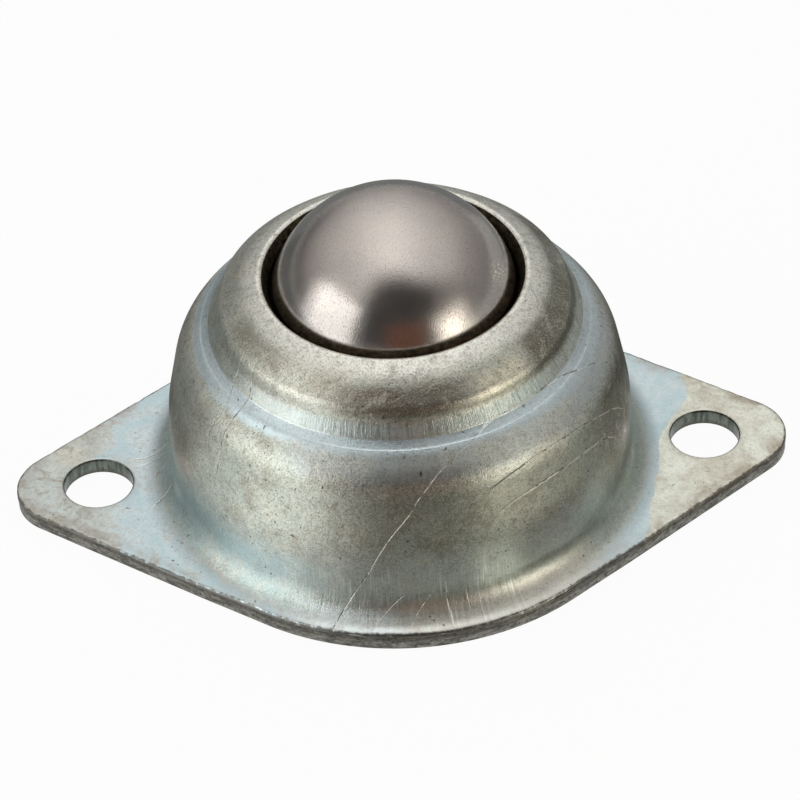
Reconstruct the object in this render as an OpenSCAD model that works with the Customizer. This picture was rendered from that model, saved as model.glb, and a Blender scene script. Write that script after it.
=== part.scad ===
// Ball transfer unit with a pressed, two-hole flange housing.
//
// A steel load ball runs on a single layer of small bearing balls in a hard
// bowl-shaped cup. The housing is one pressed sheet: its curled lip keeps the
// load ball in, its step holds the cup down, and a pressed cap closes it from
// below. Origin: centre of the mounting face, on the axis of the ball. +Z is up.

/* [Load ball] */
// Diameter of the load ball
ball_d = 22.2; // [20:0.1:25]

/* [Bearing balls] */
// Diameter of one bearing ball
bearing_d = 4; // [3.5:0.1:4.5]
// Total play of a bearing ball between the load ball and the cup
race_play = 0.05; // [0.02:0.01:0.1]
// Rows of bearing balls around the single ball at the bottom
bearing_rows = 3; // [1:1:3]
// Angle of the top row, from straight down, seen from the load ball's centre
top_row_angle = 65; // [58:1:70]
// Smallest gap between neighbouring bearing balls in a row
bearing_gap = 0.05; // [0.02:0.01:0.3]

/* [Ball cup] */
// Wall of the cup
cup_t = 1.2; // [0.9:0.1:1.8]
// Thickness left under the lowest ball, where the cup is pressed flat
cup_floor = 0.9; // [0.5:0.1:1.1]

/* [Closing cap] */
// Sheet of the cap
cap_t = 1.2; // [0.8:0.1:1.6]
// Height of the cap's upturned skirt, over all
cap_h = 5.5; // [4.5:0.1:6]
// Bend between the cap's floor and its skirt, outside
cap_bend = 1.8; // [1.7:0.1:2.4]
// How far the cap sits above the mounting face
cap_recess = 2.3; // [1.5:0.1:3]

/* [Housing] */
// Sheet of the housing
sheet_t = 1.6; // [1.2:0.1:1.7]
// Gap between the lip's edge and the load ball
lip_gap = 0.15; // [0.05:0.01:0.3]
// How much narrower than the load ball the lip's edge is, on the radius
lip_hold = 0.2; // [0.1:0.05:0.4]
// Slope of the sheet at the lip, in degrees
lip_slope = 26; // [20:1:32]
// Length of the flatter ring next to the lip
crown_in = 1.9; // [1.6:0.1:2.4]
// Slope of the crown outside that ring, in degrees
crown_slope = 42; // [38:1:46]
// Space between the load ball and the neck's inner wall
neck_gap = 2.8; // [2.5:0.1:3.2]
// Height of the neck between the crown and the step
neck_h = 1.98; // [1.7:0.01:2.6]
// Taper of the neck, in degrees
neck_taper = 8.7; // [4:0.1:12]
// Width of the step, seen from above
step_w = 1.52; // [1.4:0.01:2]
// Slope of the step, in degrees
step_slope = 33; // [28:1:36]
// Space between the cup and the body's inner wall
body_gap = 2.65; // [2.2:0.05:3.5]
// Slope of the body just below the step, in degrees
shoulder_slope = 52; // [46:1:58]
// Slope of the body above its upright wall, in degrees
belly_slope = 78.5; // [74:0.5:84]
// Height at which the body's wall turns upright
belly_z = 9.6; // [9:0.1:11]
// Bend between the body and the flange, outside
base_bend = 3.2; // [2:0.1:4]

/* [Flange] */
// Width of the flange in front of and behind the body
flange_rim = 2.25; // [1.5:0.05:5]
// Diameter of a fixing hole
hole_d = 6.2; // [5:0.1:8]
// Flat metal between the base bend and a fixing hole
hole_land = 0.6; // [0.3:0.1:5]
// From the centre of a fixing hole to the end of its ear
ear_edge = 7.4; // [6.5:0.1:12]
// Radius of an ear's rounded end
ear_r = 4.65; // [3.5:0.05:6]

/* [Hidden] */
// Outer bends of the housing, from the lip to the wall
lip_bend = 8;
crown_bend = 2.5;
step_bend = 0.9;
crest_bend = 1.8;
shoulder_bend = 4.8;
belly_bend = 12;

ball_r = ball_d / 2;
race_r = ball_r + bearing_d + race_play;
cup_r = race_r + cup_t;
cup_z = cap_recess + cap_t;
ball_z = cup_z + cup_floor + race_r;
bearing_path_r = (ball_r + race_r) / 2;

body_r = cup_r + body_gap + sheet_t;
bore_r = body_r - sheet_t;
neck_r = ball_r + neck_gap + sheet_t;
flange_r = body_r + flange_rim;
hole_x = body_r + base_bend + hole_land + hole_d / 2;
ear_x = hole_x + ear_edge - ear_r;
ear_end = ear_x + ear_r;

// Cutting tools pass the faces they cut by this much
over = 1;
// The flange's straight sides lie this far inside its rounds
side_in = 0.01;
// One straight piece of a bend turns by no more than this
bend_step = 15;
sheet_fn = 36;
ball_fn = 24;
cup_fn = 30;
bearing_fn = 13;
hole_fn = 28;

// ---- plane geometry ---------------------------------------------------------

function unit(v) = v / norm(v);
function cross2(a, b) = a.x * b.y - a.y * b.x;
function right_of(d) = [d.y, -d.x];
function turned(v, a) = [v.x * cos(a) - v.y * sin(a), v.x * sin(a) + v.y * cos(a)];
function reversed(list) = [for (i = [len(list) - 1 : -1 : 0]) list[i]];

// Direction that runs outwards and falls by angle a
function falling(a) = [cos(a), -sin(a)];

// Where the line through p along d meets the line through q along e
function meet(p, d, q, e) = p + d * cross2(q - p, e) / cross2(d, e);

// The path moved sideways by s, to the right of its own direction
function shifted(path, s) =
    let (last = len(path) - 1)
    [for (i = [0 : last])
        let (a = unit(path[max(i, 1)] - path[max(i, 1) - 1]))
        let (b = unit(path[min(i, last - 1) + 1] - path[min(i, last - 1)]))
        i == 0 || i == last
            ? path[i] + s * right_of(i == 0 ? b : a)
            : meet(path[i] + s * right_of(a), a, path[i] + s * right_of(b), b)];

// Points of the bend of radius r that replaces corner b between a and c
function bend(a, b, c, r) =
    let (u = unit(a - b), v = unit(c - b), half = acos(u * v) / 2)
    let (centre = b + unit(u + v) * r / sin(half), start = b + u * r / tan(half))
    let (turn = (180 - 2 * half) * sign(cross2(b - a, c - b)))
    let (steps = ceil(abs(turn) / bend_step))
    [for (k = [0 : steps]) centre + turned(start - centre, turn * k / steps)];

// The path with each inner corner bent to the radius of the same index
function bent(path, radii) = [
    path[0],
    for (i = [1 : len(path) - 2]) each bend(path[i - 1], path[i], path[i + 1], radii[i]),
    path[len(path) - 1]
];

// Radii on the other face of the sheet: bends keep their centres
function other_radii(path, radii, t) = [
    for (i = [0 : len(path) - 1])
        i == 0 || i == len(path) - 1 ? 0
            : radii[i] + t * sign(cross2(path[i] - path[i - 1], path[i + 1] - path[i]))
];

// Section of a sheet of thickness t that lies to the right of the path
function sheet(path, radii, t) = concat(
    bent(path, radii),
    reversed(bent(shifted(path, t), other_radii(path, radii, t)))
);

// ---- housing ----------------------------------------------------------------

lip_edge = [ball_r - lip_hold, ball_z + sqrt(pow(ball_r + lip_gap, 2) - pow(ball_r - lip_hold, 2))];
lip_top = lip_edge - sheet_t * right_of(falling(lip_slope));
crown_in_end = lip_top + crown_in * falling(lip_slope);
crown_end = meet(crown_in_end, falling(crown_slope), [neck_r, 0], [0, 1]);
neck_end = crown_end + neck_h * [tan(neck_taper), -1];
crest = neck_end + step_w * [1, -tan(step_slope)];
belly = [body_r, belly_z];
shoulder = meet(crest, falling(shoulder_slope), belly, falling(belly_slope));

// Outer face of the pressed sheet, from the lip down and out to the flange
housing_path = [
    lip_top, crown_in_end, crown_end, neck_end, crest, shoulder, belly,
    [body_r, sheet_t], [ear_end + over, sheet_t]
];
housing_bends = [
    0, lip_bend, crown_bend, step_bend, crest_bend, shoulder_bend, belly_bend, base_bend, 0
];

// Underside of the step, which the cup's rim bears on
seat_from = neck_end + sheet_t * right_of(falling(step_slope));
function seat_z(r) = seat_from.y - (r - seat_from.x) * tan(step_slope);

// Outline of the flange: a round middle drawn out to two rounded ears. The straight
// sides run a hair inside the rounds, so that they cross them and don't just touch.
module flange_outline() {
    side = acos((flange_r - ear_r) / ear_x);
    out = [cos(side), sin(side)];
    at_middle = (flange_r - side_in) * out;
    at_ear = [ear_x, 0] + (ear_r - side_in) * out;
    quarter = [at_ear, at_middle];
    polygon([
        for (p = quarter) p,
        for (p = reversed(quarter)) [-p.x, p.y],
        for (p = quarter) [-p.x, -p.y],
        for (p = reversed(quarter)) [p.x, -p.y]
    ]);
    circle(r = flange_r, $fn = 2 * sheet_fn);
    for (s = [-1, 1])
        translate([s * ear_x, 0]) circle(r = ear_r, $fn = hole_fn);
}

module housing() {
    color([0.62, 0.61, 0.57])
    difference() {
        intersection() {
            rotate_extrude($fn = sheet_fn)
                polygon(sheet(housing_path, housing_bends, sheet_t));
            translate([0, 0, -over])
                linear_extrude(lip_top.y + 2 * over) flange_outline();
        }
        for (s = [-1, 1])
            translate([s * hole_x, 0, -over])
                cylinder(d = hole_d, h = sheet_t + 2 * over, $fn = hole_fn);
    }
}

// ---- balls ------------------------------------------------------------------

module load_ball() {
    color([0.58, 0.56, 0.56])
    translate([0, 0, ball_z]) sphere(d = ball_d, $fn = ball_fn);
}

row_angle = top_row_angle / bearing_rows;

// How many bearing balls fit side by side in row k
function row_count(k) =
    k == 0 ? 1 : floor(180 / asin((bearing_d + bearing_gap) / 2 / (bearing_path_r * sin(k * row_angle))));

// Centre of ball j in row k. Every other row starts half a step round.
function bearing_spot(k, j) =
    let (down = k * row_angle, round = 360 * (j + k % 2 / 2) / row_count(k))
    [0, 0, ball_z] + bearing_path_r * [sin(down) * cos(round), sin(down) * sin(round), -cos(down)];

bearing_spots = [
    for (k = [0 : bearing_rows]) for (j = [0 : row_count(k) - 1]) bearing_spot(k, j)
];
function bearing_name(i) = str("bearing_ball_", i);

// Bearing ball i, counted from the bottom of the cup
module bearing_ball(i) {
    color([0.75, 0.76, 0.78])
    translate(bearing_spots[i - 1]) sphere(d = bearing_d, $fn = bearing_fn);
}

// ---- cup and cap ------------------------------------------------------------

module ball_cup() {
    rim_r = cup_r + over;
    color([0.42, 0.42, 0.44])
    difference() {
        intersection() {
            translate([0, 0, ball_z]) sphere(r = cup_r, $fn = cup_fn);
            rotate_extrude($fn = cup_fn)
                polygon([[0, cup_z], [rim_r, cup_z], [rim_r, seat_z(rim_r)], [0, seat_z(0)]]);
        }
        translate([0, 0, ball_z]) sphere(r = race_r, $fn = cup_fn);
    }
}

// The cap's path runs out along its floor and up its skirt, the sheet on its left
cap_path = [[0, cap_recess], [bore_r, cap_recess], [bore_r, cap_recess + cap_h]];

module closing_cap() {
    color([0.66, 0.68, 0.70])
    rotate_extrude($fn = sheet_fn)
        polygon(sheet(cap_path, [0, cap_bend, 0], -cap_t));
}

housing();
load_ball();
ball_cup();
closing_cap();
for (i = [1 : len(bearing_spots)])
    bearing_ball(i);
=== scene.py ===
"""Ball transfer unit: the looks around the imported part.

Constants are in mm and degrees unless a name or a comment says otherwise.
"""
import math

import bmesh
import bpy
import numpy as np
from mathutils import Matrix, Vector, noise


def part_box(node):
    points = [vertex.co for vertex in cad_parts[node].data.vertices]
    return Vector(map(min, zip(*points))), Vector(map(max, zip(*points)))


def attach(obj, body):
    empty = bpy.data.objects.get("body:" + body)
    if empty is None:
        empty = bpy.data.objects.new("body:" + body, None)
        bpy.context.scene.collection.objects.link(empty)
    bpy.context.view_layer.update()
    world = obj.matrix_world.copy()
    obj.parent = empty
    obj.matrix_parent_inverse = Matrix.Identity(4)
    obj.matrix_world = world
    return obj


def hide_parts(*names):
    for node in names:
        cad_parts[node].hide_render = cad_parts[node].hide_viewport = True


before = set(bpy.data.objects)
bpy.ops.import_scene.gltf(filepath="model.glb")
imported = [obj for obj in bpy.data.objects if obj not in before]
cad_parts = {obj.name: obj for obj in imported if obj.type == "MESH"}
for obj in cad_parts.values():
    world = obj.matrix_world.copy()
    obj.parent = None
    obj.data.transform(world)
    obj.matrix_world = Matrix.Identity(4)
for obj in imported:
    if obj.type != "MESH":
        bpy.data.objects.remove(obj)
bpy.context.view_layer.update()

MM = 0.001


def corners_mm(node):
    """A node's lowest and highest corner, in mm."""
    low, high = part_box(node)
    return np.array(low) / MM, np.array(high) / MM


# ---- sizes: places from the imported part, sheet and bends as its source has them ----

ball_low, ball_high = corners_mm("load_ball")
BALL_R = (ball_high[0] - ball_low[0]) / 2
BALL_Z = (ball_high[2] + ball_low[2]) / 2
housing_high = corners_mm("housing")[1]
FLANGE_R = housing_high[1]
EAR_END = housing_high[0]
cap_low, cap_high = corners_mm("closing_cap")
BORE_R = cap_high[0]

SHEET = 1.6
BODY_R = BORE_R + SHEET
NECK_GAP = 2.8
NECK_R = BALL_R + NECK_GAP + SHEET
LIP_GAP, LIP_HOLD, LIP_SLOPE = 0.15, 0.2, 26
CROWN_IN, CROWN_SLOPE = 1.9, 42
NECK_H, NECK_TAPER = 1.98, 8.7
STEP_W, STEP_SLOPE = 1.52, 33
SHOULDER_SLOPE, BELLY_SLOPE, BELLY_Z = 52, 78.5, 9.6
LIP_BEND, CROWN_BEND, STEP_BEND, CREST_BEND = 8, 2.5, 0.9, 1.8
SHOULDER_BEND, BELLY_BEND, BASE_BEND = 4.8, 12, 3.2
EAR_R = 4.65
EAR_X = EAR_END - EAR_R
HOLE_R, HOLE_LAND = 3.1, 0.6
HOLE_X = BODY_R + BASE_BEND + HOLE_LAND + HOLE_R
CAP_T, CAP_BEND, CAP_EDGE = 1.2, 1.8, 0.25

# The outer face flares at the neck's foot, and the step is a shallow cove up to its crest. The bend is
# tighter at the crown and wider at the crest than in the source. All stay within 0.2 mm of its lines.
FLARE_FROM, FOOT_FROM = (-0.12, 0.96), (0.65, -0.34)
COVE_FALLS = 40, 26
FACE_CROWN_BEND, FLARE_BEND, FOOT_BEND, COVE_BEND, FACE_CREST_BEND = 1.6, 2, 0.25, 1.0, 2.8

# The worn and sheared edges
LIP_ROUND = 0.42
LIP_INSIDE = 0.15
THROAT = 0.12, 0.5, 0.95
ROLLOVER = 1.3, 0.8, 0.5, 0.34, 0.22, 0.13, 0.06, 0.02
ROLL_WIDTH, ROLL_DEPTH, NICK_DEPTH, NICK_REACH = 0.34, 0.2, 0.09, 0.3
EDGE_SHARES = 0.12, 0.26, 0.4, 0.54, 0.68, 0.82, 0.94
BURNISHED_SHARE = 0.45
UNDER_EDGE = 0.3

# A punch: how much wider than the hole, and at what height. It leaves the hole's rounded rim.
PUNCH_LOW, PUNCH_HIGH = -1, 3
PUNCH = [(0.06, PUNCH_LOW), (0.06, 0.1), (0, 0.7), (0, 1.38), (0.03, 1.47), (0.1, 1.545), (0.22, 1.59),
         (0.55, 1.66), (0.55, PUNCH_HIGH)]


# ---- plane geometry ----

def unit(v):
    v = np.asarray(v, float)
    return v / np.linalg.norm(v)


def cross2(a, b):
    return a[0] * b[1] - a[1] * b[0]


def falling(degrees):
    """Direction that runs outwards and falls by an angle."""
    a = math.radians(degrees)
    return np.array([math.cos(a), -math.sin(a)])


def right_of(d):
    return np.array([d[1], -d[0]])


def meet(p, d, q, e):
    """Where the line through p along d meets the line through q along e."""
    return p + d * cross2(q - p, e) / cross2(d, e)


def shifted(path, s):
    """The path moved to the right of its own direction by s."""
    out = []
    for i, p in enumerate(path):
        a = unit(path[max(i, 1)] - path[max(i, 1) - 1])
        j = min(i, len(path) - 2)
        b = unit(path[j + 1] - path[j])
        if i in (0, len(path) - 1):
            out.append(p + s * right_of(b if i == 0 else a))
        else:
            out.append(meet(p + s * right_of(a), a, p + s * right_of(b), b))
    return out


def bend(a, b, c, r, step):
    """Points of the bend of radius r that replaces corner b, at most step degrees apart."""
    u, v = unit(a - b), unit(c - b)
    half = math.acos(float(np.clip(u @ v, -1, 1))) / 2
    centre = b + unit(u + v) * r / math.sin(half)
    start = b + u * r / math.tan(half) - centre
    turn = (math.pi - 2 * half) * np.sign(cross2(b - a, c - b))
    count = max(2, math.ceil(abs(math.degrees(turn)) / step))
    out = []
    for k in range(count + 1):
        t = turn * k / count
        out.append(centre + np.array([start[0] * math.cos(t) - start[1] * math.sin(t),
                                      start[0] * math.sin(t) + start[1] * math.cos(t)]))
    return out


def bent(path, radii, step, longest):
    """The path with its corners bent, and its straight stretches cut into short ones."""
    points = [path[0]]
    for i in range(1, len(path) - 1):
        points += bend(path[i - 1], path[i], path[i + 1], radii[i], step)
    points.append(path[-1])
    out = [points[0]]
    for p in points[1:]:
        gap = np.linalg.norm(p - out[-1])
        if gap < 1e-6:
            continue
        pieces = max(1, math.ceil(gap / longest))
        start = out[-1]
        out += [start + (p - start) * k / pieces for k in range(1, pieces + 1)]
    return np.array(out)


def other_radii(path, radii, t):
    """Radii on the other face of the sheet: bends keep their centres."""
    out = [0] * len(path)
    for i in range(1, len(path) - 1):
        out[i] = radii[i] + t * np.sign(cross2(path[i] - path[i - 1], path[i + 1] - path[i]))
    return out


# ---- section of the pressed sheet ----

lip_edge = np.array([BALL_R - LIP_HOLD,
                     BALL_Z + math.sqrt((BALL_R + LIP_GAP) ** 2 - (BALL_R - LIP_HOLD) ** 2)])
lip_top = lip_edge - SHEET * right_of(falling(LIP_SLOPE))
crown_in_end = lip_top + CROWN_IN * falling(LIP_SLOPE)
crown_end = meet(crown_in_end, falling(CROWN_SLOPE), np.array([NECK_R, 0.0]), np.array([0.0, 1.0]))
neck_end = crown_end + NECK_H * np.array([math.tan(math.radians(NECK_TAPER)), -1])
crest = neck_end + STEP_W * np.array([1, -math.tan(math.radians(STEP_SLOPE))])
belly = np.array([BODY_R, BELLY_Z])
shoulder = meet(crest, falling(SHOULDER_SLOPE), belly, falling(BELLY_SLOPE))
BEND_R = BODY_R + BASE_BEND
BEND_Z = SHEET + BASE_BEND

wall_path = [lip_top, crown_in_end, crown_end, neck_end, crest, shoulder, belly, np.array([BODY_R, BEND_Z])]
wall_bends = [0, LIP_BEND, CROWN_BEND, STEP_BEND, CREST_BEND, SHOULDER_BEND, BELLY_BEND, 0]
inner_wall = bent(shifted(wall_path, SHEET), other_radii(wall_path, wall_bends, SHEET), step=12, longest=1.6)

neck_flare = neck_end + np.array(FLARE_FROM)
neck_foot = neck_end + np.array(FOOT_FROM)
cove = meet(neck_foot, falling(COVE_FALLS[0]), crest, falling(COVE_FALLS[1]))
face_path = wall_path[:3] + [neck_flare, neck_foot, cove] + wall_path[4:]
face_bends = [0, LIP_BEND, FACE_CROWN_BEND, FLARE_BEND, FOOT_BEND, COVE_BEND, FACE_CREST_BEND, SHOULDER_BEND,
              BELLY_BEND, 0]
outer_wall = bent(face_path, face_bends, step=4, longest=0.34)


# ---- outline of the flange, as distances and directions round the axis ----

# The segments crowd together at the ears, where the outline bends most.
SEGMENTS = 480
EAR_CROWDING = 0.35
turns = np.arange(SEGMENTS) / SEGMENTS * 2 * math.pi
theta = turns - EAR_CROWDING * np.sin(2 * turns) / 2
ROUND = np.stack([np.cos(theta), np.sin(theta)], 1)

# Direction of the straight side's normal, and the direction in which that side ends at the ear
side = math.acos((FLANGE_R - EAR_R) / EAR_X)
ear_joins = math.atan2(EAR_R * math.sin(side), EAR_X + EAR_R * math.cos(side))


def reach(x, y):
    """How far the outline is from the axis in a direction, and its normal there, as in the first quarter."""
    a = math.atan2(abs(y), abs(x))
    if a >= side:
        return FLANGE_R, (math.cos(a), math.sin(a))
    if a > ear_joins:
        return FLANGE_R / math.cos(a - side), (math.cos(side), math.sin(side))
    rho = EAR_X * math.cos(a) + math.sqrt(EAR_R ** 2 - (EAR_X * math.sin(a)) ** 2)
    return rho, unit([rho * math.cos(a) - EAR_X, rho * math.sin(a)])


def outline():
    """Points of the outline and their outward normals, one for each angle in theta."""
    points, normals = [], []
    for x, y in ROUND:
        rho, n = reach(x, y)
        sx, sy = (1 if x >= 0 else -1), (1 if y >= 0 else -1)
        points.append((rho * x, rho * y))
        normals.append((n[0] * sx, n[1] * sy))
    return np.array(points), np.array(normals)


EDGE, EDGE_N = outline()


def noise_at(points, wavelength, seed=0.0):
    """Smooth noise from about -1 to 1 at points in mm."""
    shift = Vector((seed * 7.31, seed * 3.17, seed * 5.71))
    return np.array([noise.noise(Vector(p) / wavelength + shift) for p in points])


# ---- the pressed housing: one closed skin of quads round the axis ----

def top_z(r, radius, flat):
    """Height of a face of the base bend, or of the flat beyond it."""
    inside = np.clip(BEND_R - r, 0, radius)
    return np.where(r < BEND_R, BEND_Z - np.sqrt(radius ** 2 - inside ** 2), flat)


def run_out(radius, flat, target, arc_rings, flat_rings):
    """Rings from the foot of the wall out to the target points: even on the bend, then on the flat."""
    target_r = np.linalg.norm(target, axis=1)
    target_a = np.unwrap(np.arctan2(target[:, 1], target[:, 0]))
    base_a = np.unwrap(theta)
    target_a += 2 * math.pi * np.round((base_a - target_a) / (2 * math.pi))
    bend_run = radius * math.pi / 2
    foot = np.where(target_r < BEND_R,
                    radius * np.arccos(np.clip((BEND_R - target_r) / radius, -1, 1)),
                    bend_run + target_r - BEND_R)
    broken = np.minimum(bend_run, foot * arc_rings / (arc_rings + flat_rings))
    rings = []
    for k in range(1, arc_rings + flat_rings):
        if k <= arc_rings:
            run = broken * k / arc_rings
        else:
            run = broken + (foot - broken) * (k - arc_rings) / flat_rings
        angle = np.minimum(run, bend_run) / radius
        r = np.where(run < bend_run, BEND_R - radius * np.cos(angle), BEND_R + run - bend_run)
        z = np.where(run < bend_run, BEND_Z - radius * np.sin(angle), flat)
        a = base_a + (target_a - base_a) * (run / foot) ** 2
        rings.append(np.stack([r * np.cos(a), r * np.sin(a), z], 1))
    return rings


def inset(distance):
    """The outline moved inwards."""
    return EDGE - EDGE_N * np.asarray(distance).reshape(-1, 1)


def revolved(points):
    """A ring for each (r, z) point."""
    return [np.stack([r * ROUND[:, 0], r * ROUND[:, 1], np.full(SEGMENTS, z)], 1) for r, z in points]


def housing_rings():
    """Every ring of the skin with the finish of the strip that follows it."""
    rings, finish = [], []

    def add(new, kind):
        rings.extend(new)
        finish.extend([kind] * len(new))

    # the lip's worn corner, then the outer face down to the bend at the base
    lip_in = unit(lip_edge - lip_top)
    along = falling(LIP_SLOPE)
    corner = [lip_top + LIP_ROUND * (lip_in * (1 - math.sin(t)) + along * (1 - math.cos(t)))
              for t in np.radians([0, 18, 36, 54, 72, 90])]
    outer = [p for p in outer_wall if (p - lip_top) @ along > LIP_ROUND * 1.05 or p[1] < lip_top[1] - 1]
    add(revolved(corner[:1]), "lip")
    add(revolved(corner[1:] + outer), "plate")

    # the flange's top, out to its rolled-over and nicked edge
    roll = ROLL_WIDTH + 0.07 * noise_at([(*p, 0) for p in EDGE], 5, 1)
    depth = ROLL_DEPTH + 0.06 * noise_at([(*p, 3) for p in EDGE], 3, 2)
    nick = np.clip(noise_at([(*p, 9) for p in EDGE], 0.8, 3), 0, 1) * NICK_DEPTH
    add(run_out(BASE_BEND, SHEET, inset(ROLLOVER[0]), arc_rings=15, flat_rings=9), "plate")
    for d in ROLLOVER:
        xy = inset(d + nick * (d < NICK_REACH))
        z = top_z(np.linalg.norm(xy, axis=1), BASE_BEND, SHEET)
        share = np.clip(1 - d / roll, 0, 1)
        z = z - depth * (1 - np.sqrt(np.clip(1 - share ** 2, 0, 1)))
        add([np.column_stack([xy, z])], "plate")
    edge_top = rings[-1][:, 2]

    # the sheared edge: burnished above, torn below
    floor_z = top_z(np.linalg.norm(EDGE, axis=1), BASE_BEND + SHEET, 0.0)
    torn = noise_at([(*p, 20) for p in EDGE], 2.2, 4)
    for share in EDGE_SHARES:
        z = edge_top + (floor_z - edge_top) * share
        rough = noise_at(np.column_stack([EDGE, z * 2]), 0.9, 5)
        ragged = 0.02 + (0.05 + 0.05 * rough if share > BURNISHED_SHARE else 0.015 * rough)
        add([np.column_stack([inset(np.clip(ragged + 0.02 * torn, 0.003, 0.2)), z])], "edge")

    # the underside, back to the bore and up inside to the lip's cut rim
    for d, kind in ((0.06, "edge"), (UNDER_EDGE, "plate")):
        xy = inset(d)
        add([np.column_stack([xy, top_z(np.linalg.norm(xy, axis=1), BASE_BEND + SHEET, 0.0)])], kind)
    add(run_out(BASE_BEND + SHEET, 0.0, inset(UNDER_EDGE), arc_rings=9, flat_rings=6)[::-1], "plate")
    add(revolved(inner_wall[:0:-1]), "plate")
    add(revolved([lip_edge + along * LIP_INSIDE] + [lip_edge - lip_in * d for d in THROAT]), "lip")
    return rings, finish


def grid_mesh(name, rings, finish, kinds):
    """A closed skin of quads from rings that follow each other, the last joined to the first."""
    count, around = len(rings), len(rings[0])
    co = np.concatenate(rings)
    faces = np.empty((count * around, 4), np.int32)
    j = np.arange(around)
    for i in range(count):
        a, b = i * around, ((i + 1) % count) * around
        n = (j + 1) % around
        faces[i * around:(i + 1) * around] = np.stack([a + j, b + j, b + n, a + n], 1)
    mesh = bpy.data.meshes.new(name)
    mesh.from_pydata((co * MM).tolist(), [], faces.tolist())
    indices = np.repeat([kinds.index(k) for k in finish], around)
    mesh.polygons.foreach_set("material_index", indices.astype(np.int32))
    mesh.polygons.foreach_set("use_smooth", np.ones(len(faces), bool))
    mesh.validate()
    mesh.update()
    return mesh


def link(name, mesh):
    """A new object with this mesh, in the scene."""
    obj = bpy.data.objects.new(name, mesh)
    bpy.context.scene.collection.objects.link(obj)
    return obj


def poured(name, bm):
    """The bmesh as a mesh."""
    mesh = bpy.data.meshes.new(name)
    bm.to_mesh(mesh)
    bm.free()
    return mesh


def lathe(name, points, around):
    """A closed solid of revolution from (r, z) points that run from the axis and back to it."""
    bm = bmesh.new()
    rings = []
    for r, z in points:
        if r < 1e-6:
            rings.append([bm.verts.new((0, 0, z * MM))])
        else:
            rings.append([bm.verts.new((r * MM * math.cos(t), r * MM * math.sin(t), z * MM))
                          for t in (2 * math.pi * k / around for k in range(around))])
    for a, b in zip(rings, rings[1:]):
        for k in range(around):
            n = (k + 1) % around
            loop = [a[k % len(a)], b[k % len(b)], b[n % len(b)], a[n % len(a)]]
            bm.faces.new(list(dict.fromkeys(loop)))
    bmesh.ops.recalc_face_normals(bm, faces=bm.faces)
    return poured(name, bm)


def cut(obj, tools):
    """Takes the tools' volumes out of obj."""
    for tool in tools:
        modifier = obj.modifiers.new("cut", "BOOLEAN")
        modifier.operation = "DIFFERENCE"
        modifier.solver = "EXACT"
        modifier.object = tool
    bpy.context.view_layer.update()
    evaluated = obj.evaluated_get(bpy.context.evaluated_depsgraph_get())
    cut_mesh = bpy.data.meshes.new_from_object(evaluated)
    obj.modifiers.clear()
    old = obj.data
    obj.data = cut_mesh
    bpy.data.meshes.remove(old)
    for tool in tools:
        bpy.data.objects.remove(tool)


KINDS = ["plate", "edge", "lip", "hole"]
housing = link("pressed_housing", grid_mesh("pressed_housing", *housing_rings(), KINDS))
punches = []
for number, s in enumerate((-1, 1)):
    profile = [(0, PUNCH_LOW)] + [(HOLE_R + wider, z) for wider, z in PUNCH] + [(0, PUNCH_HIGH)]
    mesh = lathe(f"punch_{number}", profile, around=96)
    mesh.transform(Matrix.Translation((s * HOLE_X * MM, 0, 0)))
    punches.append(link(f"punch_{number}", mesh))
cut(housing, punches)


HOLE_WALL_REACH, HOLE_WALL_TILT = 0.3, 0.75
EDGE_REACH = 12
SHARP_ANGLE = 38


def finish_housing(obj):
    """Marks the hole walls, the sharp edges, and each point's distance from the sheared edge."""
    mesh = obj.data
    co = np.empty(len(mesh.vertices) * 3)
    mesh.vertices.foreach_get("co", co)
    co = co.reshape(-1, 3) / MM
    for p in mesh.polygons:
        c = p.center / MM
        at_hole = abs(math.hypot(abs(c.x) - HOLE_X, c.y) - HOLE_R) < HOLE_WALL_REACH
        if at_hole and abs(p.normal.z) < HOLE_WALL_TILT:
            p.material_index = KINDS.index("hole")
    x, y = np.abs(co[:, 0]), np.abs(co[:, 1])
    a = np.arctan2(y, x)
    to_side = FLANGE_R - (x * math.cos(side) + y * math.sin(side))
    to_ear = EAR_R - np.hypot(x - EAR_X, y)
    to_round = FLANGE_R - np.hypot(x, y)
    in_ear = (x - EAR_X) * math.cos(math.pi / 2 - side) > y * math.sin(math.pi / 2 - side)
    distance = np.where(in_ear, to_ear, np.where(a >= side, to_round, to_side))
    attribute = mesh.attributes.new("edge_mm", "FLOAT", "POINT")
    attribute.data.foreach_set("value", np.clip(distance, 0, EDGE_REACH).astype(np.float32))
    mesh.set_sharp_from_angle(angle=math.radians(SHARP_ANGLE))


finish_housing(housing)


# ---- load ball ----

def ball_mesh(name, radius, centre_z, divisions):
    """A sphere of even quads: a cube's faces, divided and blown up."""
    bm = bmesh.new()
    bmesh.ops.create_cube(bm, size=2)
    bmesh.ops.subdivide_edges(bm, edges=bm.edges, cuts=divisions - 1, use_grid_fill=True)
    for v in bm.verts:
        even = [math.tan(c * math.pi / 4) for c in v.co]
        v.co = Vector(even).normalized() * radius * MM + Vector((0, 0, centre_z * MM))
    for f in bm.faces:
        f.smooth = True
    bmesh.ops.recalc_face_normals(bm, faces=bm.faces)
    return poured(name, bm)


ball = link("polished_ball", ball_mesh("polished_ball", BALL_R, BALL_Z, divisions=80))

# ---- closing cap ----

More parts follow.
